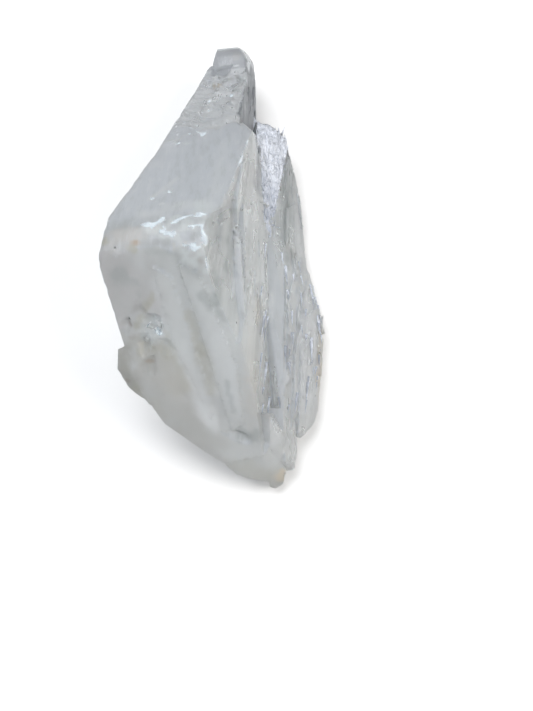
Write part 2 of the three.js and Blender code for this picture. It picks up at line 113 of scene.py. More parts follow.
class Graph:
    """Adds nodes to one tree and joins them, in materials, groups and geometry alike."""

    def __init__(self, tree):
        self.tree = tree

    def add(self, kind, inputs=None, **options):
        node = self.tree.nodes.new(kind)
        for name, value in options.items():
            setattr(node, name, value)
        for name, value in (inputs or {}).items():
            self.give(node.inputs[name], value)
        return node

    def out(self, kind, inputs=None, **options):
        """Adds a node for its first output."""
        return self.add(kind, inputs, **options).outputs[0]

    def give(self, socket, value):
        if isinstance(value, bpy.types.NodeSocket):
            self.tree.links.new(value, socket)
        else:
            socket.default_value = value

    def math(self, operation, *values):
        return self.out("ShaderNodeMath", dict(enumerate(values)), operation=operation)

    def times(self, *values):
        """The product of two or more values."""
        result = values[0]
        for value in values[1:]:
            result = self.math("MULTIPLY", result, value)
        return result

    def plus(self, *values):
        """The sum of two or more values."""
        result = values[0]
        for value in values[1:]:
            result = self.math("ADD", result, value)
        return result

    def vector(self, operation, *values):
        node = self.add("ShaderNodeVectorMath", dict(enumerate(values)), operation=operation)
        single = operation in ("DOT_PRODUCT", "LENGTH", "DISTANCE")
        return node.outputs["Value" if single else "Vector"]

    def scaled(self, vector, factor):
        return self.out("ShaderNodeVectorMath", {0: vector, "Scale": factor}, operation="SCALE")

    def parts(self, vector):
        return self.add("ShaderNodeSeparateXYZ", {0: vector}).outputs

    def rise(self, value, low, high, start=0.0, end=1.0):
        """Goes smoothly from start to end while value goes from low to high."""
        return self.out("ShaderNodeMapRange", {
            "Value": value, "From Min": low, "From Max": high, "To Min": start, "To Max": end,
        }, interpolation_type="SMOOTHSTEP")

    def fall(self, value, low, high):
        """Goes smoothly from one to nought while value goes from low to high."""
        return self.rise(value, low, high, 1.0, 0.0)

    def between(self, value, low, high, edge):
        """One between low and high, falling to nought over edge on both sides."""
        return self.times(self.rise(value, low - edge, low), self.fall(value, high, high + edge))

    def noise(self, place, size, detail=2.0, roughness=0.5):
        """Cloudy noise whose lumps are about size (x, y, z) across, from nought to one."""
        spread = self.vector("DIVIDE", place, size)
        return self.out("ShaderNodeTexNoise", {
            "Vector": spread, "Scale": 1.0, "Detail": detail, "Roughness": roughness})

    def centred(self, place, size, detail=2.0):
        """Cloudy noise on both sides of nought."""
        return self.plus(self.noise(place, size, detail), -0.5)

    def ridges(self, place, size, detail=2.0):
        """Noise folded into sharp ridges where it is near its middle value."""
        return self.fall(self.math("ABSOLUTE", self.centred(place, size, detail)), 0.0, RIDGE_WIDTH)

    def blended(self, factor, first, second):
        """Colour that goes from first to second."""
        return self.add("ShaderNodeMix", {0: factor, 6: first, 7: second}, data_type="RGBA").outputs[2]

    def stored(self, name):
        """The number that the mesh holds under that name."""
        return self.out("GeometryNodeInputNamedAttribute", {"Name": name})


def off_line(graph, place, start, along, length_squared):
    """How far a place is from the straight line that goes from start over the vector along."""
    away = graph.vector("SUBTRACT", place, start)
    share = graph.math("DIVIDE", graph.vector("DOT_PRODUCT", away, along), length_squared)
    held = graph.out("ShaderNodeClamp", {"Value": share})
    return graph.vector("LENGTH", graph.vector("SUBTRACT", away, graph.scaled(along, held)))


def near_path(graph, place, points, radius):
    """One on the path through the points, falling to nought at radius away from it."""
    masks = []
    for start, end in zip(points, points[1:]):
        along = Vector(end) - Vector(start)
        distance = off_line(graph, place, start, tuple(along), along.length_squared)
        masks.append(graph.fall(distance, 0.0, radius))
    result = masks[0]
    for mask in masks[1:]:
        result = graph.math("MAXIMUM", result, mask)
    return result


def new_tree(name, inputs, output, kind="GeometryNodeTree"):
    """The graph of a new node tree, its inputs, which are listed here by kind, and its output."""
    tree = bpy.data.node_groups.new(name, kind)
    for socket_kind, labels in inputs.items():
        for label in labels:
            tree.interface.new_socket(label, in_out="INPUT", socket_type=f"NodeSocket{socket_kind}")
    tree.interface.new_socket("Result", in_out="OUTPUT", socket_type=f"NodeSocket{output}")
    given = tree.nodes.new("NodeGroupInput").outputs
    return Graph(tree), given, tree.nodes.new("NodeGroupOutput").inputs[0]


def set_inputs(modifier, values):
    """Sets a Geometry Nodes modifier's inputs, found by name and set by identifier."""
    for item in modifier.node_group.interface.items_tree:
        if item.item_type == "SOCKET" and item.in_out == "INPUT" and item.name in values:
            modifier[item.identifier] = values[item.name]


def new_piece(name, mesh):
    """A new object with that mesh, at the origin."""
    piece = bpy.data.objects.new(name, mesh)
    bpy.context.scene.collection.objects.link(piece)
    return piece


def make_plain(piece):
    """Turns what the piece's modifiers make into its own mesh."""
    bpy.context.view_layer.update()
    graph = bpy.context.evaluated_depsgraph_get()
    mesh = bpy.data.meshes.new_from_object(piece.evaluated_get(graph))
    piece.modifiers.clear()
    piece.data = mesh
    piece.data.name = piece.name


def hand_over(piece):
    """Every piece of the blade rides with it."""
    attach(piece, "root")


# Relief of the faces. All sizes and places are in millimetres.

SHARP_EDGE = math.radians(38.0)
MERGE_DISTANCE = 0.01
SEED_STEP = 37.0
LEDGE_LEVELS = 7.0
CHIP_REACH = 1.5

# Where a kind of face begins, and where it is fully there, as parts of the face's normal
SIDE_TILT = (0.5, 0.8)
UPPER_TILT = (0.75, 0.9)
FRONT_TILT = (0.35, 0.55)
FRONT_LIFT = (-0.2, 0.1)
NOT_BELOW_TILT = (-0.8, -0.5)
DARK_TILT = (0.3, 0.5)
SEEN_TILT = (-0.2, 0.2)

# Heights over which the relief comes in, and distances from an edge over which the wear goes out
CLEAR_OF_FLOOR = (0.6, 2.2)
EDGE_WEAR = (0.2, 1.6)

# The silky plate: its normal, how well a face has to match that, and the slope and place of the
# two slanting lines that it lies between
SILKY_NORMAL = (0.78, -0.02, 0.62)
SILKY_MATCH = (0.82, 0.9)
SILKY_INNER = (0.085, 10.4)
SILKY_OUTER = (-0.149, 12.2)

# The dark facet lies right of this slanting line
DARK_SLOPE = -0.12
DARK_START = (-0.4, 0.0)

# Sizes of the random lumps, ridges and steps
CRUMB = (2.6, 2.6, 2.6)
UNEVEN_START = (7.0, 5.0, 7.0)
BROAD_FIBRE = (5.0, 34.0, 2.6)
NARROW_FIBRE = (2.2, 15.0, 1.1)
LEDGE = (7.0, 42.0, 4.0)
TORN_WAVE = (9.0, 2.8, 9.0)
LUMP = (3.6, 2.6, 3.6)
FAINT_WAVE = (4.0, 16.0, 4.0)
PLUME = (0.9, 9.0, 1.4)
CHIP_PATCH = (5.0, 5.0, 5.0)
CLOUD = (9.0, 16.0, 9.0)

# White bruises, and from the path at (-12.7, 17.1, 26.1) on, painted glints and sparkles laid as the same
# white crushed spots: the points of each one's path, and how far it reaches
BRUISES_AND_GLINTS = (
    ([(-13.8, -21.2, 37.8), (-11.5, -22.0, 38.3), (-8.8, -23.3, 38.0), (-6.8, -25.4, 38.4)], 2.5),
    ([(-7.0, -22.2, 38.5), (-2.7, -21.4, 39.4), (-1.9, -25.0, 38.2)], 1.9),
    ([(-4.8, -26.7, 37.5), (-2.6, -25.9, 38.0)], 1.0),
    ([(-16.5, -19.5, 37.2), (-13.8, -21.2, 37.8), (-12.2, -18.6, 37.4)], 1.6),
    ([(-8.8, -23.3, 38.0), (-5.2, -23.6, 38.9), (-4.8, -26.7, 37.5)], 1.8),
    ([(-9.6, -20.2, 38.3), (-6.4, -18.2, 38.3), (-2.4, -18.6, 38.8)], 1.6),
    ([(-2.2, -27.4, 36.8), (-1.6, -29.8, 35.2)], 0.9),
    ([(-14.4, -39.2, 26.1), (-12.8, -40.0, 25.5)], 2.8),
    ([(6.3, 10.9, 31.5), (4.9, 2.5, 33.5), (3.2, -5.8, 35.6)], 0.8),
    # Painted glints and sparkles from here on, not bruises
    ([(-12.7, 17.1, 26.1), (-9.0, 17.4, 27.3), (-5.2, 16.0, 28.6)], 2.8),
    ([(-11.9, 13.3, 28.5), (-9.0, 11.9, 29.3)], 2.0),
    ([(-15.2, -10.6, 34.7), (-12.8, -12.9, 35.8)], 0.9),
    ([(-11.7, -8.0, 34.6), (-11.0, -8.8, 34.9)], 0.9),
    ([(-5.8, 42.4, 19.3), (-3.6, 42.0, 20.2)], 1.3),
    ([(-5.0, 38.4, 20.6), (-3.6, 38.8, 20.9), (-2.4, 38.4, 20.8)], 1.3),
    ([(-4.7, 35.8, 21.5), (-3.0, 35.7, 21.7)], 1.3),
    ([(-6.6, 30.0, 23.2), (-4.4, 30.8, 23.2)], 1.2),
    ([(1.0, 37.0, 21.9), (1.3, 39.2, 21.4)], 1.1),
)

# Path of the worn arris
WORN_ARRIS = [(-23.5, -23.0, 36.5), (-12.0, -22.5, 38.0), (-2.0, -22.0, 39.0)]
WORN_REACH = 7.0
ROUNDING_STEPS = 10


def face_marks(graph, place, random_place, normal, edge_distance):
    """How much each point belongs to each kind of face or mark, and the bruises' crumbled noise."""
    x, y, z = graph.parts(place)
    nx, ny, nz = graph.parts(normal)
    side = graph.rise(graph.math("ABSOLUTE", nx), *SIDE_TILT)
    upper = graph.rise(nz, *UPPER_TILT)
    facing = graph.rise(graph.times(ny, -1.0), *FRONT_TILT)
    inner_line = graph.plus(x, graph.times(y, SILKY_INNER[0]))
    outer_line = graph.plus(x, graph.times(y, SILKY_OUTER[0]))
    silky = graph.times(
        graph.rise(graph.vector("DOT_PRODUCT", normal, SILKY_NORMAL), *SILKY_MATCH),
        graph.between(inner_line, SILKY_INNER[1], 30.0, 0.5),
        graph.fall(outer_line, SILKY_OUTER[1], SILKY_OUTER[1] + 0.8),
        graph.between(y, -4.0, 36.0, 3.0),
        graph.between(z, 8.0, 22.0, 1.0))

    # Bruises and painted glints, torn at their rims
    bruised = near_path(graph, place, *BRUISES_AND_GLINTS[0])
    for points, radius in BRUISES_AND_GLINTS[1:]:
        bruised = graph.math("MAXIMUM", bruised, near_path(graph, place, points, radius))
    crumbled = graph.noise(random_place, CRUMB, 4.0, 0.6)
    torn = graph.times(graph.plus(crumbled, -0.54), 4.2, graph.rise(bruised, 0.0, 0.25))
    bruised = graph.rise(graph.plus(bruised, torn), 0.3, 0.85)

    splintered = graph.times(
        side, graph.rise(x, 9.0, 12.0), graph.between(y, -50.0, -10.0, 4.0), graph.rise(z, 3.0, 5.0))
    dark = graph.times(
        graph.rise(nx, *DARK_TILT), graph.between(y, 19.5, 57.0, 1.5), graph.between(x, 4.2, 9.4, 1.0))
    right_of_rim = graph.rise(graph.plus(x, graph.times(y, DARK_SLOPE)), *DARK_START)
    dark = graph.math("MAXIMUM", dark, graph.times(right_of_rim, graph.between(y, 26.5, 55.0, 0.8)))

    # The rough end starts unevenly and stops at the end block
    uneven = graph.plus(y, graph.times(graph.centred(random_place, UNEVEN_START, 3.0), 16.0))
    rough_end = graph.times(
        upper, graph.between(uneven, 22.0, 54.0, 3.0), graph.fall(y, 50.0, 52.0),
        graph.math("SUBTRACT", 1.0, dark))
    return {
        "fibrous": side,
        "silky": silky,
        "dark_side": dark,
        "rough_end": rough_end,
        "edge": graph.fall(edge_distance, *EDGE_WEAR),
        "upper": upper,
        "front": graph.times(facing, graph.rise(nz, *FRONT_LIFT)),
        "bruised": bruised,
        "splintered": splintered,
    }, crumbled


def distance_to_edges(graph, solid):
    """How far each point is from the solid's sharp edges."""
    solid = graph.add("GeometryNodeObjectInfo", {"Object": solid}).outputs["Geometry"]
    merged = graph.out("GeometryNodeMergeByDistance", {
        "Geometry": solid, "Distance": MERGE_DISTANCE * MM})
    bend = graph.out("GeometryNodeInputMeshEdgeAngle")
    sharp = graph.out("FunctionNodeCompare", {0: bend, 1: SHARP_EDGE}, operation="GREATER_THAN")
    edges = graph.out("GeometryNodeSeparateGeometry", {
        "Geometry": merged, "Selection": sharp}, domain="EDGE")
    nearest = graph.add("GeometryNodeProximity", {0: edges}, target_element="EDGES")
    return graph.math("DIVIDE", nearest.outputs["Distance"], MM)


def relief_tree():
    """Raises fibres, ledges, waves and chips on the solid, and stores its marks and colours."""
    graph, given, result = new_tree("cleavage_relief", {
        "Geometry": ["Geometry"],
        "Object": ["Solid"],
        "Float": ["Fibre Height", "Ledge Height", "Wave Height", "Chip Depth"],
        "Int": ["Seed"],
        "Color": ["Body Colour"],
        "Material": ["Finish", "Silky Finish", "Crushed Finish"],
    }, "Geometry")

    metres = graph.out("GeometryNodeInputPosition")
    normal = graph.out("GeometryNodeInputNormal")
    place = graph.scaled(metres, 1.0 / MM)
    shift = graph.out("ShaderNodeCombineXYZ", {"X": given["Seed"], "Z": given["Seed"]})
    random_place = graph.vector("ADD", place, graph.scaled(shift, SEED_STEP))
    x, y, z = graph.parts(place)
    nx, _, nz = graph.parts(normal)
    edge_distance = distance_to_edges(graph, given["Solid"])
    marks, crumbled = face_marks(graph, place, random_place, normal, edge_distance)
    side = marks["fibrous"]
    geometry = given["Geometry"]
    fields = [(name, field, "FLOAT") for name, field in marks.items()]
    fields.append(("tint", tint(graph, place, marks, given["Body Colour"]), "FLOAT_COLOR"))
    for name, field, kind in fields:
        geometry = graph.out("GeometryNodeStoreNamedAttribute", {
            "Geometry": geometry, "Name": name, "Value": field}, data_type=kind)

    # Worn, rounded edges round the bruised arris
    worn = near_path(graph, place, WORN_ARRIS, WORN_REACH)
    rounded = graph.out("GeometryNodeBlurAttribute", {
        "Value": metres, "Iterations": ROUNDING_STEPS, "Weight": graph.rise(worn, 0.0, 0.5)},
        data_type="FLOAT_VECTOR")
    geometry = graph.out("GeometryNodeSetPosition", {"Geometry": geometry, "Position": rounded})

    # Long fibres on the sides, in two widths
    broad = graph.ridges(random_place, BROAD_FIBRE, 1.0)
    narrow = graph.ridges(random_place, NARROW_FIBRE, 2.0)
    seen_side = graph.times(graph.rise(nx, *SEEN_TILT, 0.4, 1.0), graph.rise(x, 6.0, 12.0, 0.5, 1.0))
    fibres = graph.times(
        side, seen_side, given["Fibre Height"], graph.plus(broad, graph.times(narrow, 0.7), -0.8))

    # Cleavage steps, which run along the blade
    level = graph.math("SNAP", graph.times(graph.noise(random_place, LEDGE, 1.0), LEDGE_LEVELS), 1.0)
    ledges = graph.times(
        graph.math("MAXIMUM", side, graph.times(marks["front"], 0.25)), seen_side,
        given["Ledge Height"], graph.plus(level, -LEDGE_LEVELS / 2.0))

    # Curved, torn waves on the rough end, and very faint ones on the rest of the upper face
    tilted = graph.out("ShaderNodeCombineXYZ", {
        "X": x, "Y": graph.plus(y, graph.times(x, 0.35)), "Z": z})
    torn = graph.ridges(graph.vector("ADD", tilted, graph.scaled(shift, 11.0)), TORN_WAVE, 1.0)
    lumps = graph.noise(random_place, LUMP, 1.0)
    torn_waves = graph.times(marks["rough_end"], graph.plus(torn, graph.times(lumps, 1.4), -1.2))
    faint_waves = graph.times(marks["upper"], 0.12, graph.centred(random_place, FAINT_WAVE))
    waves = graph.times(given["Wave Height"], graph.plus(torn_waves, faint_waves))

    # Plumes of silky fibres
    plume = graph.plus(graph.ridges(random_place, PLUME, 2.0), -0.5)
    plumes = graph.times(marks["silky"], given["Fibre Height"], plume, 1.6)

    # The battered arris, and chipped edges
    battered = graph.times(
        marks["bruised"], graph.fall(y, -14.0, -12.0), given["Chip Depth"],
        graph.plus(crumbled, -0.5), 7.0)
    cells = graph.out("ShaderNodeTexVoronoi", {"Vector": random_place, "Scale": 0.55})
    near_edge = graph.fall(edge_distance, 0.0, CHIP_REACH)
    patchy = graph.rise(graph.noise(random_place, CHIP_PATCH), 0.42, 0.62)
    chips = graph.times(
        near_edge, patchy, graph.rise(cells, 0.25, 0.75, 1.0, 0.1), given["Chip Depth"], -1.0)

    free = graph.times(graph.rise(nz, *NOT_BELOW_TILT), graph.rise(z, *CLEAR_OF_FLOOR))
    height = graph.times(graph.plus(fibres, ledges, waves, plumes, chips, battered), free)
    moved = graph.out("GeometryNodeSetPosition", {
        "Geometry": geometry, "Offset": graph.scaled(normal, height)})
    realized = graph.out("GeometryNodeRealizeInstances", {0: moved})
    finished = graph.out("GeometryNodeSetMaterial", {
        "Geometry": realized, "Material": given["Finish"]})
    # The crushed finish goes on the bruises and on the painted glints
    for name, finish, least in (("silky", "Silky Finish", 0.5), ("bruised", "Crushed Finish", 0.6)):
        there = graph.out("FunctionNodeCompare", {0: graph.stored(name), 1: least}, operation="GREATER_THAN")
        finished = graph.out("GeometryNodeSetMaterial", {
            "Geometry": finished, "Selection": there, "Material": given[finish]})
    graph.give(result, finished)
    return graph.tree


# A fibre's number of sides and of pieces along it, and its least and greatest random scale
FIBRE_SIDES = 5
FIBRE_PIECES = 2
LEAST_SCALE = (0.5, 0.3, 0.3)
GREATEST_SCALE = (1.4, 0.6, 1.3)


def needle_tree():
    """Lays fine pointed fibres on the marked faces, fanned out from a point."""
    graph, given, result = new_tree("fibres_on_faces", {
        "Geometry": ["Geometry"],
        "Object": ["Blade"],
        "String": ["Mark"],
        "Float": ["Density", "Length", "Width", "Spread"],
        "Vector": ["Fan Centre"],
        "Int": ["Seed"],
        "Material": ["Finish"],
    }, "Geometry")
    blade = graph.add("GeometryNodeObjectInfo", {"Object": given["Blade"]}).outputs["Geometry"]
    density = graph.times(graph.stored(given["Mark"]), given["Density"])
    scatter = graph.add("GeometryNodeDistributePointsOnFaces", {
        "Mesh": blade, "Density": density, "Seed": given["Seed"]})
    normal = scatter.outputs["Normal"]
    metres = graph.out("GeometryNodeInputPosition")
    outward = graph.vector("NORMALIZE", graph.vector("SUBTRACT", metres, given["Fan Centre"]))
    spread = graph.out("FunctionNodeRandomValue", {
        "Min": (-1.0, -1.0, -1.0), "Max": (1.0, 1.0, 1.0), "Seed": given["Seed"]},
        data_type="FLOAT_VECTOR")
    turned = graph.vector("ADD", outward, graph.scaled(spread, given["Spread"]))
    into = graph.scaled(normal, graph.vector("DOT_PRODUCT", turned, normal))
    flat = graph.vector("NORMALIZE", graph.vector("SUBTRACT", turned, into))
    rotation = graph.out("FunctionNodeAlignRotationToVector", {"Vector": flat}, axis="Z")
    needle = graph.out("GeometryNodeMeshCone", {
        "Vertices": FIBRE_SIDES, "Side Segments": FIBRE_PIECES, "Radius Top": 0.0,
        "Radius Bottom": given["Width"], "Depth": given["Length"]})
    size = graph.out("FunctionNodeRandomValue", {
        "Min": LEAST_SCALE, "Max": GREATEST_SCALE, "Seed": given["Seed"]},
        data_type="FLOAT_VECTOR")
    placed = graph.out("GeometryNodeInstanceOnPoints", {
        "Points": scatter.outputs["Points"], "Instance": needle, "Rotation": rotation, "Scale": size})
    realized = graph.out("GeometryNodeRealizeInstances", {0: placed})
    graph.give(result, graph.out("GeometryNodeSetMaterial", {
        "Geometry": realized, "Material": given["Finish"]}))
    return graph.tree


# Finish of the crystal

SPOT_NOISE = 2.4
SPOT_MIDDLE = 0.35
BAND_NOISE = 2.2
RAGGED_STAIN = 0.4


def spot_group():
    """A soft, ragged mark round a point: one in its middle, nought outside."""
    graph, given, result = new_tree("cloudy_spot", {
        "Vector": ["Place", "Centre", "Size"], "Float": ["Noise", "Ragged"]}, "Float")
    away = graph.vector("SUBTRACT", given["Place"], given["Centre"])
    away = graph.vector("LENGTH", graph.vector("DIVIDE", away, given["Size"]))
    edge = graph.plus(away, graph.times(given["Noise"], given["Ragged"], SPOT_NOISE))
    graph.give(result, graph.fall(edge, SPOT_MIDDLE, 1.0))
    return graph.tree


def band_group():
    """A soft, ragged mark along the line between two points."""
    graph, given, result = new_tree("veil_band", {
        "Vector": ["Place", "Start", "End"], "Float": ["Width", "Softness", "Noise", "Ragged"]}, "Float")
    along = graph.vector("SUBTRACT", given["End"], given["Start"])
    distance = off_line(
        graph, given["Place"], given["Start"], along, graph.vector("DOT_PRODUCT", along, along))
    noisy = graph.times(given["Noise"], given["Width"], given["Ragged"], BAND_NOISE)
    half = graph.times(given["Width"], 0.5)
    inner = graph.times(half, graph.math("SUBTRACT", 1.0, given["Softness"]))
    outer = graph.times(half, graph.plus(given["Softness"], 1.0))
    graph.give(result, graph.fall(graph.plus(distance, noisy), inner, outer))
    return graph.tree


def streak_group():
    """Fine fibres along the blade, as a value from nought to one."""
    graph, given, result = new_tree("fibre_streaks", {
        "Vector": ["Place"], "Float": ["Width", "Length"]}, "Float", "ShaderNodeTree")
    size = graph.out("ShaderNodeCombineXYZ", {
        "X": given["Width"], "Y": given["Length"], "Z": given["Width"]})
    graph.give(result, graph.noise(given["Place"], size, 3.0, 0.6))
    return graph.tree


class Finish:
    """One of the crystal's materials, which reads the marks and the tint stored on the mesh."""

    def __init__(self, name, streaks=None):
        self.streaks = streaks
        self.material = bpy.data.materials.new(name)
        self.material.use_nodes = True
        self.material.node_tree.nodes.clear()
        self.graph = Graph(self.material.node_tree)
        coordinates = self.graph.add("ShaderNodeTexCoord").outputs["Object"]
        self.place = self.graph.scaled(coordinates, 1.0 / MM)

    def mark(self, name):
        return self.graph.add("ShaderNodeAttribute", attribute_name=name).outputs["Fac"]

    def colour(self):
        return self.graph.out("ShaderNodeAttribute", attribute_name="tint")

    def streak(self, width, length):
        return self.graph.out("ShaderNodeGroup", {
            "Place": self.place, "Width": width, "Length": length}, node_tree=self.streaks)

    def finish(self, values, height=None, depth=0.0, haze=None):
        """Joins the values and relief to the shader; haze fills the inside with plain absorption."""
        graph = self.graph
        shader = graph.add("ShaderNodeBsdfPrincipled", {"Metallic": 0.0, "IOR": REFRACTION, **values})
        if height:
            bump = graph.out("ShaderNodeBump", {"Distance": depth * MM, "Height": height})
            graph.give(shader.inputs["Normal"], bump)
        output = graph.add("ShaderNodeOutputMaterial", {"Surface": shader.outputs[0]})
        if haze:
            absorption = graph.out("ShaderNodeVolumeAbsorption", {"Color": haze, "Density": ABSORPTION})
            graph.give(output.inputs["Volume"], absorption)
        return self.material


REFRACTION = 1.52
ABSORPTION = 25.0

# Colours
WHITE = (0.93, 0.95, 0.98, 1.0)
PALE = (0.9, 0.92, 0.93, 1.0)
GREY = (0.52, 0.55, 0.55, 1.0)
SLATE = (0.26, 0.28, 0.32, 1.0)
MAUVE = (0.68, 0.665, 0.67, 1.0)
ROSY = (0.68, 0.655, 0.64, 1.0)
# Painted shade for the brightly lit bevel of the arris
SHADE = (0.5, 0.515, 0.53, 1.0)
WARM = (0.66, 0.65, 0.625, 1.0)
TIP_GREY = (0.48, 0.5, 0.53, 1.0)
DARK_GREY = (0.2, 0.21, 0.235, 1.0)
OLIVE = (0.6, 0.58, 0.5, 1.0)
BEIGE = (0.86, 0.8, 0.72, 1.0)
AMBER = (0.84, 0.74, 0.6, 1.0)
RUST = (0.46, 0.31, 0.18, 1.0)
BROWN = (0.25, 0.17, 0.12, 1.0)
# Painted sky light: the bluish tint laid on faces that look upwards
SKYLIGHT_BLUE = (0.74, 0.78, 0.85, 1.0)
# Painted sheen of the silky plate
SHEEN_SILVER = (0.78, 0.82, 0.9, 1.0)
BLUE_GREY = (0.48, 0.52, 0.6, 1.0)
ICE = (0.93, 0.98, 1.0, 1.0)
FROST = (0.53, 0.59, 0.63, 1.0)
DULL_FROST = (0.42, 0.46, 0.5, 1.0)
MURKY = (0.42, 0.41, 0.37, 1.0)

# Veils that show through the milky front: start, end, width, softness, raggedness, colour, strength
FRONT_VEILS = (
    ((-15.0, -47.0, 19.5), (-2.0, -59.0, 10.0), 10.0, 0.9, 0.3, WARM, 0.6),
    ((-17.0, -41.5, 24.0), (-8.0, -50.0, 19.0), 6.5, 0.8, 0.3, WARM, 0.85),
    ((-23.0, -26.0, 36.0), (-15.0, -36.0, 29.0), 9.0, 0.9, 0.3, MAUVE, 0.8),
    ((-24.0, -28.0, 34.0), (-21.0, -38.0, 26.0), 4.0, 0.9, 0.3, MAUVE, 0.8),
    ((-10.8, -32.4, 33.0), (-8.0, -43.4, 24.6), 4.0, 0.7, 0.3, PALE, 0.6),
    ((-8.0, -43.4, 24.6), (-1.0, -57.7, 13.7), 3.4, 0.6, 0.3, PALE, 0.6),
    ((-11.8, -40.0, 26.5), (-6.5, -50.5, 18.8), 1.6, 1.0, 0.4, OLIVE, 0.4),
    ((-5.9, -37.6, 29.0), (-3.2, -44.3, 24.0), 1.8, 0.9, 0.5, OLIVE, 0.5),
    ((-3.2, -44.3, 24.0), (-0.9, -51.2, 18.9), 2.8, 0.8, 0.5, OLIVE, 0.55),
    ((-3.4, -33.0, 33.3), (1.2, -43.4, 25.6), 4.0, 0.6, 0.3, PALE, 0.5),
    ((1.2, -43.4, 25.6), (4.1, -58.1, 14.3), 5.6, 0.5, 0.3, PALE, 0.5),
    ((-2.8, -34.6, 32.2), (1.6, -38.9, 28.6), 1.8, 1.0, 1.4, GREY, 0.6),
    ((-21.2, -30.4, 33.4), (-16.8, -32.2, 32.2), 2.0, 1.0, 1.8, GREY, 0.55),
    ((-7.5, -29.0, 35.6), (-4.0, -31.4, 34.0), 1.4, 1.0, 1.4, GREY, 0.5),
    ((-13.5, -26.2, 37.0), (-8.0, -27.6, 36.6), 1.8, 0.9, 1.0, GREY, 0.5),
    ((2.0, -50.0, 20.6), (3.4, -55.0, 16.6), 1.1, 0.9, 1.0, GREY, 0.6),
    ((5.0, -59.2, 13.0), (8.6, -59.6, 12.6), 1.9, 1.0, 1.8, GREY, 0.8),
    ((-13.6, -34.0, 31.4), (-17.6, -39.5, 26.6), 1.4, 0.9, 1.0, OLIVE, 0.7),
    ((-16.0, -42.6, 23.6), (-11.4, -43.9, 23.3), 2.6, 1.0, 0.8, OLIVE, 0.6),
    ((-10.5, -44.0, 23.4), (-9.0, -50.0, 18.6), 3.4, 1.0, 0.5, OLIVE, 0.25),
    ((-21.0, -43.0, 22.0), (-19.4, -49.5, 18.0), 4.6, 0.8, 0.4, MURKY, 0.8),
    ((-18.0, -50.0, 17.0), (-4.0, -60.5, 8.0), 3.0, 0.9, 0.4, OLIVE, 0.45),
    ((4.0, -64.5, 7.0), (13.5, -66.6, 3.8), 5.0, 0.8, 0.4, OLIVE, 0.45),
)

# White, soft network along the bruised arris, given in the same way; its first, grey band is painted shade
# that darkens the bevel where the window lights it strongly
ARRIS_VEILS_AND_SHADE = (
    # Painted shade: a grey band that darkens the whole bevel
    ((-20.0, -21.0, 37.4), (-1.5, -20.5, 39.0), 6.0, 0.9, 1.0, GREY, 0.5),
    ((-14.2, -20.8, 37.8), (-11.5, -22.0, 38.3), 2.4, 0.8, 1.3, ICE, 1.0),
    ((-11.5, -22.0, 38.3), (-8.8, -23.3, 38.0), 2.0, 0.8, 1.3, ICE, 1.0),
    ((-8.8, -23.3, 38.0), (-6.4, -27.4, 37.2), 2.2, 0.8, 1.3, ICE, 1.0),
    ((-10.5, -21.0, 38.4), (-8.5, -18.0, 38.0), 1.4, 0.8, 1.3, ICE, 0.9),
    ((-7.0, -22.2, 38.5), (-2.7, -21.2, 39.5), 2.0, 0.8, 1.3, ICE, 1.0),
    ((-4.8, -28.6, 36.0), (-2.4, -25.9, 38.0), 1.6, 0.8, 1.2, ICE, 1.0),
    ((-2.5, -19.2, 39.0), (-1.6, -27.4, 37.0), 1.6, 0.9, 1.0, ICE, 0.9),
    ((-3.2, -14.7, 37.6), (-3.6, -18.6, 38.5), 4.0, 1.0, 1.0, ICE, 0.6),
    ((-1.4, -30.0, 34.6), (-2.4, -27.0, 37.0), 1.4, 1.0, 1.0, ICE, 0.7),
)

# Pale rim of the tip, given in the same way: white worn edges, with a painted highlight on the right bevel
TIP_VEILS_AND_HIGHLIGHT = (
    ((-3.8, 66.2, 14.0), (3.2, 65.6, 14.6), 1.6, 0.7, 0.3, ICE, 1.0),
    ((4.0, 65.3, 14.2), (5.6, 60.5, 15.2), 2.6, 0.6, 0.3, ICE, 1.0),
    ((5.6, 60.5, 15.2), (5.6, 53.0, 18.0), 1.8, 0.6, 0.4, ICE, 1.0),
    ((3.4, 50.0, 20.0), (4.4, 46.0, 20.4), 2.2, 0.8, 0.4, ICE, 0.6),
)

# Faint marks on the upper face, given in the same way; its ICE lines are painted glints and sparkles, and
# the pale band next to the arris is painted light
UPPER_VEILS_AND_GLINTS = (
    ((2.4, 31.5, 23.2), (3.4, 41.0, 21.8), 1.5, 0.7, 0.4, ICE, 0.9),
    ((3.4, 41.0, 21.8), (4.4, 46.0, 20.4), 2.2, 0.8, 0.4, ICE, 0.6),
    ((-6.8, 52.8, 16.6), (-7.2, 49.0, 17.6), 1.8, 1.0, 0.6, ICE, 0.6),
    ((-4.6, 46.6, 18.6), (-2.4, 48.0, 18.4), 0.9, 0.8, 0.6, ICE, 0.9),
    ((-12.6, 16.6, 26.6), (-5.0, 16.2, 28.5), 1.0, 0.8, 1.4, ICE, 1.0),
    ((-11.9, 13.3, 28.5), (-9.0, 12.0, 29.3), 0.8, 0.9, 1.4, ICE, 0.8),
    ((-15.6, -11.4, 34.8), (-14.6, -9.4, 34.6), 0.7, 0.8, 0.6, ICE, 0.8),
    ((-12.0, -8.6, 34.6), (-10.6, -7.2, 34.6), 0.6, 0.8, 0.6, ICE, 0.7),
    ((-9.4, -14.2, 36.5), (-7.4, -13.2, 36.6), 0.7, 0.8, 0.6, ICE, 0.7),
    ((-18.0, -14.0, 35.0), (-9.0, -2.0, 33.5), 1.0, 1.0, 1.2, PALE, 0.5),
    # Painted light: a pale band that lightens the upper face next to the brighter bevel
    ((-16.0, -16.5, 36.0), (-4.0, -14.5, 37.0), 3.4, 1.0, 0.8, PALE, 0.6),
    ((-1.5, -16.0, 38.0), (1.0, 12.0, 31.5), 3.0, 1.0, 0.5, PALE, 0.4),
    ((-8.0, -4.0, 34.5), (-3.0, 12.0, 30.0), 1.4, 1.0, 1.0, GREY, 0.2),
)

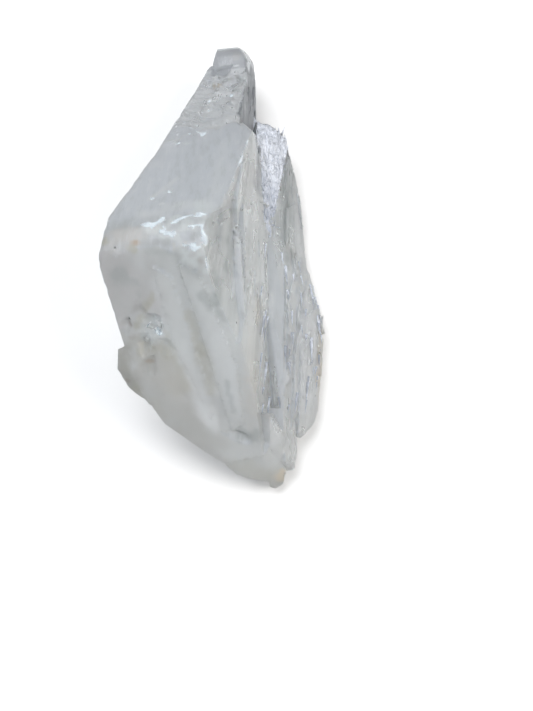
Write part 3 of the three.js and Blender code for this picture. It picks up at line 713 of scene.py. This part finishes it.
# Bright and dark spears along the right side, given in the same way
SIDE_SPEARS = (
    ((8.5, 5.0, 25.6), (5.0, -18.1, 29.5), 0.9, 0.8, 0.4, WHITE, 0.8),
    ((3.9, -10.5, 33.9), (4.6, -20.6, 30.8), 0.6, 0.6, 0.2, ICE, 1.0),
    ((6.8, -10.3, 27.7), (4.8, -20.6, 30.8), 0.6, 0.8, 0.3, ICE, 0.8),
    ((0.7, -15.8, 35.9), (0.6, -18.6, 35.2), 1.6, 0.9, 0.8, SLATE, 0.4),
    ((0.6, -21.0, 34.2), (0.4, -24.0, 33.2), 1.4, 0.9, 0.8, SLATE, 0.4),
    ((18.5, 12.7, 7.3), (16.0, -3.0, 10.2), 0.5, 0.7, 0.4, ICE, 0.7),
    ((3.6, -28.5, 29.0), (3.3, -32.5, 28.0), 1.4, 0.6, 0.3, WHITE, 1.0),
    ((1.2, -17.5, 35.4), (0.4, -24.0, 35.0), 2.2, 0.8, 0.6, SLATE, 0.4),
    ((3.6, -13.0, 33.6), (2.4, -27.0, 31.0), 1.6, 0.8, 0.5, GREY, 0.9),
    ((0.6, -29.0, 33.4), (0.2, -36.0, 31.0), 1.8, 0.9, 0.8, GREY, 0.8),
    ((10.6, -8.0, 18.0), (10.0, -24.0, 17.0), 2.2, 0.8, 0.5, GREY, 0.8),
    ((12.2, -24.0, 15.8), (12.1, -56.3, 14.5), 0.6, 0.6, 0.6, WHITE, 1.0),
    ((15.5, -12.0, 13.0), (15.9, -19.0, 12.2), 1.0, 0.5, 0.6, WHITE, 1.0),
    ((18.5, -20.6, 11.1), (18.0, -53.2, 7.0), 0.7, 0.6, 0.6, WHITE, 1.0),
    ((9.4, 26.0, 22.0), (8.6, 2.0, 25.0), 4.5, 0.9, 0.5, SLATE, 0.8),
    ((16.4, 24.0, 9.0), (15.2, -10.0, 11.0), 5.5, 0.8, 0.4, GREY, 0.9),
)

# Stains, with painted shade on the arris and painted glints on the upper face among them: centre, size,
# colour and strength
ARRIS_STAINS_AND_SHADE = (
    ((-19.5, -22.6, 37.0), (6.5, 3.4, 3.2), ROSY, 0.85),
    # Painted shade: the two SHADE spots darken the bevel where the window lights it strongly
    ((-12.6, -24.9, 37.2), (6.0, 1.5, 1.6), SHADE, 0.8),
    ((-4.7, -24.2, 38.6), (1.5, 1.3, 1.4), SHADE, 0.8),
    ((-17.4, -24.8, 37.0), (1.7, 1.2, 1.2), RUST, 0.8),
    ((-17.9, -26.0, 36.6), (1.9, 1.7, 1.7), OLIVE, 0.8),
    ((-24.2, -23.6, 36.4), (1.9, 1.6, 1.6), OLIVE, 0.9),
)
FRONT_STAINS = (
    ((-14.0, -39.6, 26.0), (4.8, 4.6, 4.6), ICE, 0.6),
    ((-15.1, -45.2, 21.5), (2.0, 0.7, 0.7), RUST, 0.4),
    ((-17.0, -43.6, 22.8), (1.8, 1.2, 1.2), OLIVE, 0.6),
    ((-18.9, -38.5, 26.1), (0.9, 0.9, 0.9), BROWN, 0.45),
    ((-18.4, -41.1, 25.1), (0.9, 0.9, 0.9), BROWN, 0.2),
    ((-14.8, -43.6, 22.6), (1.8, 1.0, 1.0), BROWN, 0.08),
    ((-19.9, -48.6, 18.4), (1.0, 0.8, 0.8), BROWN, 0.35),
    ((-3.2, -28.4, 35.6), (1.4, 1.2, 1.2), BROWN, 0.3),
    ((14.4, -65.6, 3.8), (2.6, 2.0, 3.0), AMBER, 0.9),
)
UPPER_STAINS_AND_GLINTS = (
    # Painted glints: the WHITE spots on the sparkle line and the rough end
    ((-12.8, -12.9, 35.8), (0.7, 0.8, 0.7), WHITE, 1.0),
    ((-5.2, 42.2, 19.4), (1.3, 0.8, 1.0), WHITE, 1.0),
    ((-4.2, 38.4, 20.8), (1.7, 0.6, 1.0), WHITE, 1.0),
    ((-2.7, 38.9, 20.6), (1.0, 0.6, 1.0), WHITE, 1.0),
    ((-4.6, 35.2, 21.7), (0.9, 1.3, 1.0), WHITE, 1.0),
    ((-3.1, 35.9, 21.5), (0.8, 0.8, 0.8), WHITE, 1.0),
    ((1.2, 38.1, 21.6), (0.8, 1.4, 1.0), WHITE, 1.0),
    ((-3.1, 43.2, 20.4), (2.6, 2.0, 2.0), AMBER, 0.8),
)
TIP_STAINS = (
    ((2.0, 52.8, 19.0), (1.3, 1.0, 1.0), WHITE, 1.0),
    ((2.2, 58.6, 17.0), (2.4, 3.6, 2.6), ROSY, 0.4),
)
SIDE_STAINS = (
    ((7.9, 9.3, 28.1), (0.5, 0.7, 0.6), RUST, 0.9),
    ((12.8, -57.8, 12.7), (3.0, 6.5, 4.0), WHITE, 0.9),
    ((8.2, -45.0, 19.6), (4.0, 26.0, 8.0), BEIGE, 0.3),
    ((9.0, -31.1, 20.1), (2.6, 5.0, 3.0), AMBER, 0.25),
    ((8.3, -47.6, 19.4), (2.8, 6.5, 3.0), AMBER, 0.2),
    ((17.0, -6.0, 9.0), (3.0, 5.0, 3.0), ROSY, 0.5),
    ((21.0, -38.0, 9.0), (4.0, 24.0, 6.0), WHITE, 0.95),
    ((24.5, -38.0, 3.5), (2.2, 20.0, 4.0), AMBER, 0.8),
)

# Veils and stains, with painted shade, glints and highlights among them
VEILS_AND_PAINTED_LIGHT = FRONT_VEILS + UPPER_VEILS_AND_GLINTS + SIDE_SPEARS + ARRIS_VEILS_AND_SHADE + TIP_VEILS_AND_HIGHLIGHT
STAINS = ARRIS_STAINS_AND_SHADE + FRONT_STAINS + UPPER_STAINS_AND_GLINTS + TIP_STAINS + SIDE_STAINS
END_BLOCK_START = (50.5, 51.5)


def tint(graph, place, marks, body):
    """The crystal's colour at each point, put together veil by veil and stain by stain, with painted sky
    light, painted shade, painted glints and a painted highlight among them.
    """
    spot = spot_group()
    band = band_group()
    fine_noise = graph.centred(place, (1.6, 1.6, 1.6), 3.0)
    broad_noise = graph.centred(place, (3.4, 4.6, 3.4), 2.0)
    shift = graph.centred(place, (2.4, 2.4, 2.4), 2.0)
    shifted = graph.vector("ADD", place, graph.scaled((2.0, 0.0, 0.0), shift))
    cloud = graph.noise(place, CLOUD, 3.0)
    colour = graph.blended(graph.rise(cloud, 0.35, 0.65, 0.0, 0.5), body, PALE)
    # Painted sky light: faces that look upwards are tinted bluish
    colour = graph.blended(graph.times(marks["upper"], 0.7), colour, SKYLIGHT_BLUE)
    colour = graph.blended(graph.rise(graph.parts(place)[1], *END_BLOCK_START), colour, TIP_GREY)
    colour = graph.blended(marks["dark_side"], colour, DARK_GREY)
    for start, end, width, softness, ragged, veil, strength in VEILS_AND_PAINTED_LIGHT:
        there = graph.out("GeometryNodeGroup", {
            "Place": shifted, "Start": start, "End": end, "Width": width, "Softness": softness,
            "Noise": broad_noise, "Ragged": ragged}, node_tree=band)
        colour = graph.blended(graph.times(there, strength), colour, veil)
    # White on the bruises and on the painted glints
    colour = graph.blended(graph.times(marks["bruised"], 0.9), colour, WHITE)
    for centre, size, stain, strength in STAINS:
        there = graph.out("GeometryNodeGroup", {
            "Place": shifted, "Centre": centre, "Size": size, "Noise": fine_noise,
            "Ragged": RAGGED_STAIN}, node_tree=spot)
        colour = graph.blended(graph.times(there, strength), colour, stain)
    return colour


# Sizes of the crystal's fine marks
FAINT_STREAK = (1.3, 8.0, 2.4)
TORN_GLINT = (7.0, 1.7, 7.0)
FACET = (1.8, 1.0, 1.8)

# How rough the crystal is, and how much rougher or smoother each mark makes it
CRYSTAL_ROUGHNESS = 0.22
ROUGHER = {"front": 0.16, "edge": 0.1, "rough_end": -0.12, "bruised": 0.2, "dark_side": 0.3}


def crystal_material(finish, streaks):
    """Milky see-through crystal with its fibres."""
    blade = Finish("selenite_crystal", streaks)
    graph = blade.graph
    colour = blade.colour()
    cloud = graph.noise(blade.place, CLOUD, 3.0)
    upper = blade.mark("upper")
    faint = graph.noise(blade.place, FAINT_STREAK, 4.0, 0.65)
    colour = graph.blended(graph.times(upper, graph.rise(faint, 0.5, 0.66, 0.0, 0.4)), colour, WHITE)
    colour = graph.blended(graph.times(upper, graph.rise(faint, 0.36, 0.48, 0.3, 0.0)), colour, GREY)
    fibrous = blade.mark("fibrous")
    fine = blade.streak(0.5, 14.0)
    broad = blade.streak(2.4, 30.0)
    dark_streak = graph.times(fibrous, graph.rise(broad, 0.42, 0.6, 0.0, 0.3))
    colour = graph.blended(dark_streak, colour, GREY)
    across = graph.parts(blade.place)[0]
    outer = graph.rise(across, 7.0, 12.0, 0.3, 1.0)
    pale_streak = graph.times(fibrous, outer, graph.rise(fine, 0.5, 0.64, 0.0, 0.55))
    colour = graph.blended(pale_streak, colour, WHITE)
    bright_streak = graph.times(blade.mark("dark_side"), graph.rise(fine, 0.6, 0.68, 0.0, 0.6))
    colour = graph.blended(bright_streak, colour, WHITE)
    rough = blade.mark("rough_end")
    slanted = graph.vector("ADD", blade.place, graph.scaled((0.0, 0.4, 0.0), across))
    torn = graph.ridges(slanted, TORN_GLINT, 4.0)
    # Painted glints: the rough end is paler, and white along its torn ridges
    colour = graph.blended(graph.times(rough, graph.plus(graph.times(torn, 0.6), 0.35)), colour, WHITE)
    rougher = [graph.times(blade.mark(name), more) for name, more in ROUGHER.items()]
    roughness = graph.plus(
        CRYSTAL_ROUGHNESS, *rougher, graph.rise(cloud, 0.4, 0.6, 0.0, 0.08),
        graph.times(upper, graph.rise(faint, 0.4, 0.6, 0.12, 0.2)))
    facets = graph.noise(slanted, FACET, 2.0)
    height = graph.plus(
        graph.times(fibrous, outer, fine), graph.times(rough, graph.plus(torn, facets), 1.5),
        graph.times(upper, faint, 0.25))
    return blade.finish({
        "Base Color": colour, "Roughness": roughness, "Transmission Weight": finish.clearness,
        "Subsurface Weight": 0.6, "Subsurface Radius": (1.0, 1.0, 1.0), "Subsurface Scale": 0.006,
    }, height, depth=0.25, haze=tuple(finish.haze))


def crushed_and_glint_material():
    """White, finely crushed crystal on the bruises, also laid on small spots as painted glints."""
    crushed = Finish("crushed_selenite")
    graph = crushed.graph
    grains = graph.noise(crushed.place, (0.7, 0.7, 0.7), 4.0, 0.6)
    patches = graph.noise(crushed.place, (2.4, 2.4, 2.4), 2.0)
    colour = graph.blended(graph.rise(patches, 0.4, 0.65), FROST, DULL_FROST)
    return crushed.finish({
        "Base Color": colour, "Roughness": 0.75,
        "Subsurface Weight": 0.5, "Subsurface Radius": (1.0, 1.0, 1.0), "Subsurface Scale": 0.003,
    }, grains, depth=0.15)


def silky_material(streaks):
    """Silvery plumes of fine fibres, their sheen painted into the colour as pale silver streaks."""
    silky = Finish("silky_selenite", streaks)
    graph = silky.graph
    fine = silky.streak(0.4, 3.0)
    along = graph.parts(silky.place)[1]
    swirl = graph.centred(silky.place, (5.0, 9.0, 5.0))
    silky.place = graph.vector("ADD", silky.place, graph.scaled(
        (0.9, 0.0, -0.9), graph.times(along, swirl)))
    plume = graph.ridges(silky.place, (1.3, 5.0, 1.3), 3.0)
    low = graph.rise(along, 4.0, 20.0)
    # Painted sheen: the fine fibres and the plumes are painted silver where the plate shines
    colour = graph.blended(graph.times(low, graph.rise(fine, 0.35, 0.5)), BLUE_GREY, SHEEN_SILVER)
    colour = graph.blended(graph.times(plume, graph.rise(low, 0.0, 1.0, 0.35, 0.85)), colour, SHEEN_SILVER)
    return silky.finish({
        "Base Color": colour, "Roughness": graph.rise(plume, 0.0, 1.0, 0.4, 0.2),
    }, graph.plus(fine, plume), depth=0.4)


VEIL_DENSITY = 0.7


def veil_material():
    """A white, patchy veil that fades out as it goes deeper."""
    veil = Finish("milky_veil")
    graph = veil.graph
    patches = graph.rise(graph.noise(veil.place, (1.8, 3.5, 2.6), 3.0), 0.3, 0.62, 0.15, 1.0)
    alpha = graph.times(veil.mark("fade"), patches, VEIL_DENSITY)
    return veil.finish({"Base Color": WHITE, "Roughness": 0.7, "Alpha": alpha})


REMESH_DEPTH = 9
SAME_POINT = 0.001 * MM
SMOOTH_ANGLE = math.radians(40.0)


def refine(piece, cell):
    """Remakes the piece's surface in even squares of about cell, keeping its sharp edges."""
    remesh = piece.modifiers.new("even_squares", "REMESH")
    remesh.mode = "SHARP"
    remesh.octree_depth = REMESH_DEPTH
    remesh.scale = LENGTH / (cell * 2 ** REMESH_DEPTH)
    remesh.use_remove_disconnected = True


class SELENITE_OT_blade(bpy.types.Operator):
    """Build the crystal blade with its cleavage fibres, ledges and chips"""

    bl_idname = "selenite.blade"
    bl_label = "Crystal Blade"

    def execute(self, context):
        shape = context.scene.blade_shape
        finish = context.scene.blade_finish
        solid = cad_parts["selenite_blade"]
        mesh = solid.data.copy()
        work = bmesh.new()
        work.from_mesh(mesh)
        bmesh.ops.remove_doubles(work, verts=work.verts, dist=SAME_POINT)
        work.to_mesh(mesh)
        work.free()
        mesh.materials.clear()
        piece = new_piece("crystal_blade", mesh)
        refine(piece, shape.cell * (1.0))
        relief = piece.modifiers.new("cleavage_relief", "NODES")
        relief.node_group = relief_tree()
        streaks = streak_group()
        set_inputs(relief, {
            "Solid": solid,
            "Fibre Height": shape.fibre_height,
            "Ledge Height": shape.ledge_height,
            "Wave Height": shape.wave_height,
            "Chip Depth": shape.chip_depth,
            "Seed": shape.seed,
            "Body Colour": tuple(finish.body),
            "Finish": crystal_material(finish, streaks),
            "Crushed Finish": crushed_and_glint_material(),
            "Silky Finish": silky_material(streaks),
        })
        make_plain(piece)
        piece.data.shade_smooth()
        piece.data.set_sharp_from_angle(angle=SMOOTH_ANGLE)
        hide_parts("selenite_blade")
        hand_over(piece)
        return {"FINISHED"}


# Veils inside the crystal: the points of the edge that lies just under the front, then how far
# the veil goes into the crystal from there
VEILS = (
    ([(-7.2, -37.0, 29.5), (-2.4, -44.3, 24.1), (-0.3, -48.8, 20.8), (1.6, -56.0, 15.4)], (-6.0, 6.0, -5.0)),
    ([(1.5, -39.4, 28.3), (4.4, -48.0, 21.8), (5.9, -57.5, 14.8)], (-7.5, 5.0, -4.0)),
    ([(-4.6, -33.2, 33.0), (0.6, -38.6, 29.0), (2.8, -44.0, 25.0)], (-4.0, 7.0, -3.0)),
    ([(-13.0, -31.0, 33.6), (-11.0, -38.5, 28.2), (-9.0, -45.0, 23.2)], (-5.0, 7.0, -5.0)),
    ([(-18.0, -27.5, 35.6), (-20.0, -34.5, 30.4), (-20.5, -38.0, 27.4)], (3.5, 8.0, -6.0)),
    ([(-14.0, -50.0, 18.2), (-6.0, -55.0, 15.0), (2.0, -61.0, 10.8)], (1.0, 8.0, 3.0)),
    ([(-16.0, -47.0, 20.2), (-8.0, -51.0, 18.2), (-3.0, -58.0, 13.2)], (4.0, 9.0, 1.0)),
)
VEIL_ROWS = 24
VEIL_COLUMNS = 12
VEIL_INSET = Vector((-0.07, 0.62, -0.79)) * 0.6
VEIL_THICKNESS = 0.12
VEIL_WAVES_PER_MM = 0.23
VEIL_WAVE_HEIGHT = 1.4

# How fast a veil comes in from its ends, thickens from its rim, starts from its edge and fades
VEIL_ENDS = 5.0
VEIL_RIM = 8.0
VEIL_START = 4.0
VEIL_FADE = 1.3


def along_path(points, share):
    """The point at that share of the way along a path."""
    lengths = [(b - a).length for a, b in zip(points, points[1:])]
    left = share * sum(lengths)
    for start, end, length in zip(points, points[1:], lengths):
        if left <= length:
            return start.lerp(end, left / length)
        left -= length
    return points[-1]


def veil_mesh():
    """All the veils as one mesh of thin closed sheets, with a mark that fades towards their ends."""
    work = bmesh.new()
    fade = work.verts.layers.float.new("fade")
    for number, (edge, depth) in enumerate(VEILS):
        points = [Vector(point) + VEIL_INSET for point in edge]
        depth = Vector(depth)
        across = depth.cross(points[-1] - points[0]).normalized()
        sides = []
        for side in (0.5, -0.5):
            rows = []
            for row in range(VEIL_ROWS + 1):
                share = row / VEIL_ROWS
                start = along_path(points, share)
                ends = min(1.0, share * VEIL_ENDS, (1.0 - share) * VEIL_ENDS)
                rows.append([])
                for column in range(VEIL_COLUMNS + 1):
                    deep = column / VEIL_COLUMNS
                    place = start + depth * deep
                    bend = noise.noise(place * VEIL_WAVES_PER_MM + Vector((number, 0.0, 0.0)))
                    wave = bend * VEIL_WAVE_HEIGHT * (0.2 + deep)
                    rim = min(share, 1.0 - share, deep + 0.1, 1.0 - deep) * VEIL_RIM
                    thick = VEIL_THICKNESS * side * min(1.0, rim)
                    vert = work.verts.new((place + across * (wave + thick)) * MM)
                    begun = min(1.0, 0.1 + deep * VEIL_START)
                    vert[fade] = ends * begun * (1.0 - deep) ** VEIL_FADE
                    rows[-1].append(vert)
            sides.append(rows)
        outline = [(0, c) for c in range(VEIL_COLUMNS)]
        outline += [(r, VEIL_COLUMNS) for r in range(VEIL_ROWS)]
        outline += [(VEIL_ROWS, c) for c in range(VEIL_COLUMNS, 0, -1)]
        outline += [(r, 0) for r in range(VEIL_ROWS, 0, -1)]
        for rows in sides:
            for r in range(VEIL_ROWS):
                for c in range(VEIL_COLUMNS):
                    work.faces.new((rows[r][c], rows[r][c + 1], rows[r + 1][c + 1], rows[r + 1][c]))
        for (r, c), (nr, nc) in zip(outline, outline[1:] + outline[:1]):
            work.faces.new((sides[0][r][c], sides[0][nr][nc], sides[1][nr][nc], sides[1][r][c]))
    bmesh.ops.recalc_face_normals(work, faces=work.faces)
    mesh = bpy.data.meshes.new("inner_veils")
    work.to_mesh(mesh)
    work.free()
    mesh.materials.append(veil_material())
    mesh.shade_smooth()
    return mesh


class SELENITE_OT_veils(bpy.types.Operator):
    """Build the milky veils inside the crystal"""

    bl_idname = "selenite.veils"
    bl_label = "Inner Veils"

    def execute(self, context):
        hand_over(new_piece("inner_veils", veil_mesh()))
        return {"FINISHED"}


# Fibres: name, mark, number per square metre, length, width, centre of the fan and spread
FIBRES = (
    ("silky_fibres", "silky", 0.9e6, 3.0, 0.26, (11.0, -2.0, 15.0), 0.25),
    ("side_splinters", "splintered", 0.08e6, 6.0, 0.42, (14.0, 300.0, 10.0), 0.05),
)


class SELENITE_OT_fibres(bpy.types.Operator):
    """Build the frayed fibres on the silky plate and the splinters on the right side"""

    bl_idname = "selenite.fibres"
    bl_label = "Fibres and Splinters"

    def execute(self, context):
        tree = needle_tree()
        blade = bpy.data.objects["crystal_blade"]
        for number, row in enumerate(FIBRES):
            name, mark, density, length, width, centre, spread = row
            piece = new_piece(name, bpy.data.meshes.new(name))
            growth = piece.modifiers.new("fibres_on_faces", "NODES")
            growth.node_group = tree
            set_inputs(growth, {
                "Blade": blade, "Mark": mark, "Density": density, "Length": length * MM,
                "Width": width * MM, "Fan Centre": tuple(Vector(centre) * MM), "Spread": spread,
                "Seed": context.scene.blade_shape.seed + number,
                "Finish": bpy.data.materials["silky_selenite"],
            })
            make_plain(piece)
            hand_over(piece)
        return {"FINISHED"}


# Stage, in metres

CAMERA_PLACE = (10.87 * MM, -115.76 * MM, 156.81 * MM)
CAMERA_TILT = math.radians(28.0)
LENS_MM = 35.0
SENSOR_MM = 36.0
TARGET = (0.0, 0.0, 0.015)
FLOOR_GAP = 0.15 * MM
FLOOR_HALF = 2.0
SKY = (0.95, 0.97, 1.0, 1.0)
SKY_STRENGTH = 0.58

# Each light's place, size and colour
WINDOW = ((-0.22, 0.12, 0.62), 0.5, (0.97, 0.98, 1.0))
FILL = ((0.48, -0.16, 0.36), 0.4, (1.0, 0.95, 0.88))


def soft_light(name, power, place, size, colour):
    """A large square light that faces the crystal."""
    light = bpy.data.lights.new(name, "AREA")
    light.shape = "SQUARE"
    light.size = size
    light.energy = power
    light.color = colour
    lamp = bpy.data.objects.new(name, light)
    lamp.location = place
    lamp.rotation_euler = (Vector(TARGET) - Vector(place)).to_track_quat("-Z", "Y").to_euler()
    bpy.context.scene.collection.objects.link(lamp)


class SELENITE_OT_stage(bpy.types.Operator):
    """Build the floor, the lights and the camera"""

    bl_idname = "selenite.stage"
    bl_label = "Stage"

    def execute(self, context):
        look = context.scene.stage_look
        camera = bpy.data.objects.new("camera", bpy.data.cameras.new("camera"))
        camera.data.lens = LENS_MM
        camera.data.sensor_width = SENSOR_MM
        camera.data.clip_start = 0.01
        camera.location = CAMERA_PLACE
        camera.rotation_euler = (CAMERA_TILT, 0.0, 0.0)
        context.scene.collection.objects.link(camera)
        context.scene.camera = camera

        mesh = bpy.data.meshes.new("floor")
        corners = ((-1.0, -1.0), (1.0, -1.0), (1.0, 1.0), (-1.0, 1.0))
        corners = [(x * FLOOR_HALF, y * FLOOR_HALF, -FLOOR_GAP) for x, y in corners]
        mesh.from_pydata(corners, [], [(0, 1, 2, 3)])
        floor = new_piece("floor", mesh)
        paint = bpy.data.materials.new("pale_floor")
        paint.use_nodes = True
        shader = paint.node_tree.nodes["Principled BSDF"]
        shader.inputs["Base Color"].default_value = look.floor
        shader.inputs["Roughness"].default_value = 0.8
        mesh.materials.append(paint)

        soft_light("window", look.window_power, *WINDOW)
        soft_light("fill", look.fill_power, *FILL)
        world = bpy.data.worlds.new("soft_room")
        world.use_nodes = True
        sky = world.node_tree.nodes["Background"]
        sky.inputs["Color"].default_value = SKY
        sky.inputs["Strength"].default_value = SKY_STRENGTH
        context.scene.world = world
        context.scene.view_settings.view_transform = "Standard"
        return {"FINISHED"}


class SELENITE_PT_panel(bpy.types.Panel):
    """Lists the blade's settings and the steps that build it"""

    bl_idname = "SELENITE_PT_panel"
    bl_label = "Selenite Blade"
    bl_space_type = "VIEW_3D"
    bl_region_type = "UI"
    bl_category = "Selenite"

    def draw(self, context):
        for settings in (context.scene.blade_shape, context.scene.blade_finish, context.scene.stage_look):
            box = self.layout.box()
            for name in settings.__annotations__:
                box.prop(settings, name)
        for operator in OPERATORS:
            self.layout.operator(operator.bl_idname)


SETTINGS = {"blade_shape": BladeShape, "blade_finish": BladeFinish, "stage_look": StageLook}
OPERATORS = (SELENITE_OT_stage, SELENITE_OT_blade, SELENITE_OT_veils, SELENITE_OT_fibres)
CLASSES = (*SETTINGS.values(), *OPERATORS, SELENITE_PT_panel)


def register():
    for one in CLASSES:
        bpy.utils.register_class(one)
    for name, group in SETTINGS.items():
        setattr(bpy.types.Scene, name, bpy.props.PointerProperty(type=group))


def unregister():
    for name in SETTINGS:
        delattr(bpy.types.Scene, name)
    for one in reversed(CLASSES):
        bpy.utils.unregister_class(one)


def main():
    register()
    bpy.ops.selenite.stage()
    bpy.ops.selenite.blade()
    bpy.ops.selenite.veils()
    bpy.ops.selenite.fibres()


if __name__ == "__main__":
    main()
